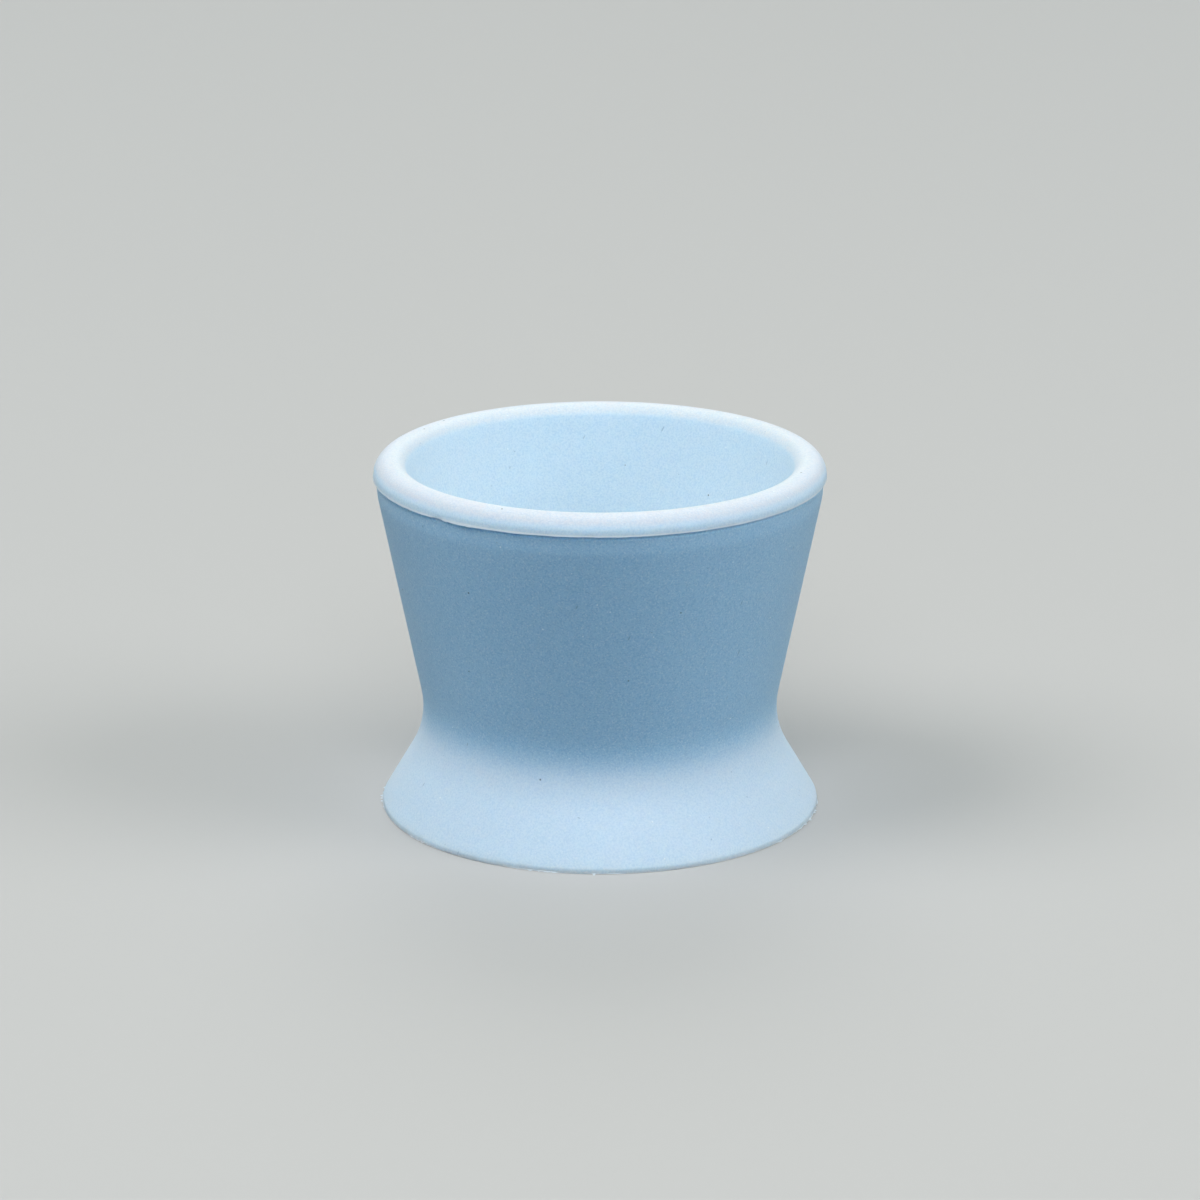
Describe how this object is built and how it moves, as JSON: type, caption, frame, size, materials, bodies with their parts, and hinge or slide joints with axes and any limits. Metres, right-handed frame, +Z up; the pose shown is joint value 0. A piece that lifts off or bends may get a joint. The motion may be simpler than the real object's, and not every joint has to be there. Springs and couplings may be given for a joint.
{
  "type": "dental mixing bowl",
  "caption": "Silicone mixing bowl: a tapered cup with a beaded rim on a narrow waist and a flared, hollow foot that serves as a shallow mixing well when turned over.",
  "frame": {"origin": "centre of the ring under the foot that the bowl stands on", "axes": "+Z up along the bowl's axis, out of the mouth of the cup; X and Y are alike, because the bowl is round"},
  "size_m": [0.045, 0.045, 0.0359],
  "materials": {
    "silicone": "satin, fine-grained pale blue silicone rubber, slightly translucent"
  },
  "bodies": {
    "root": {"mixing_bowl": "silicone"}
  },
  "joints": []
}
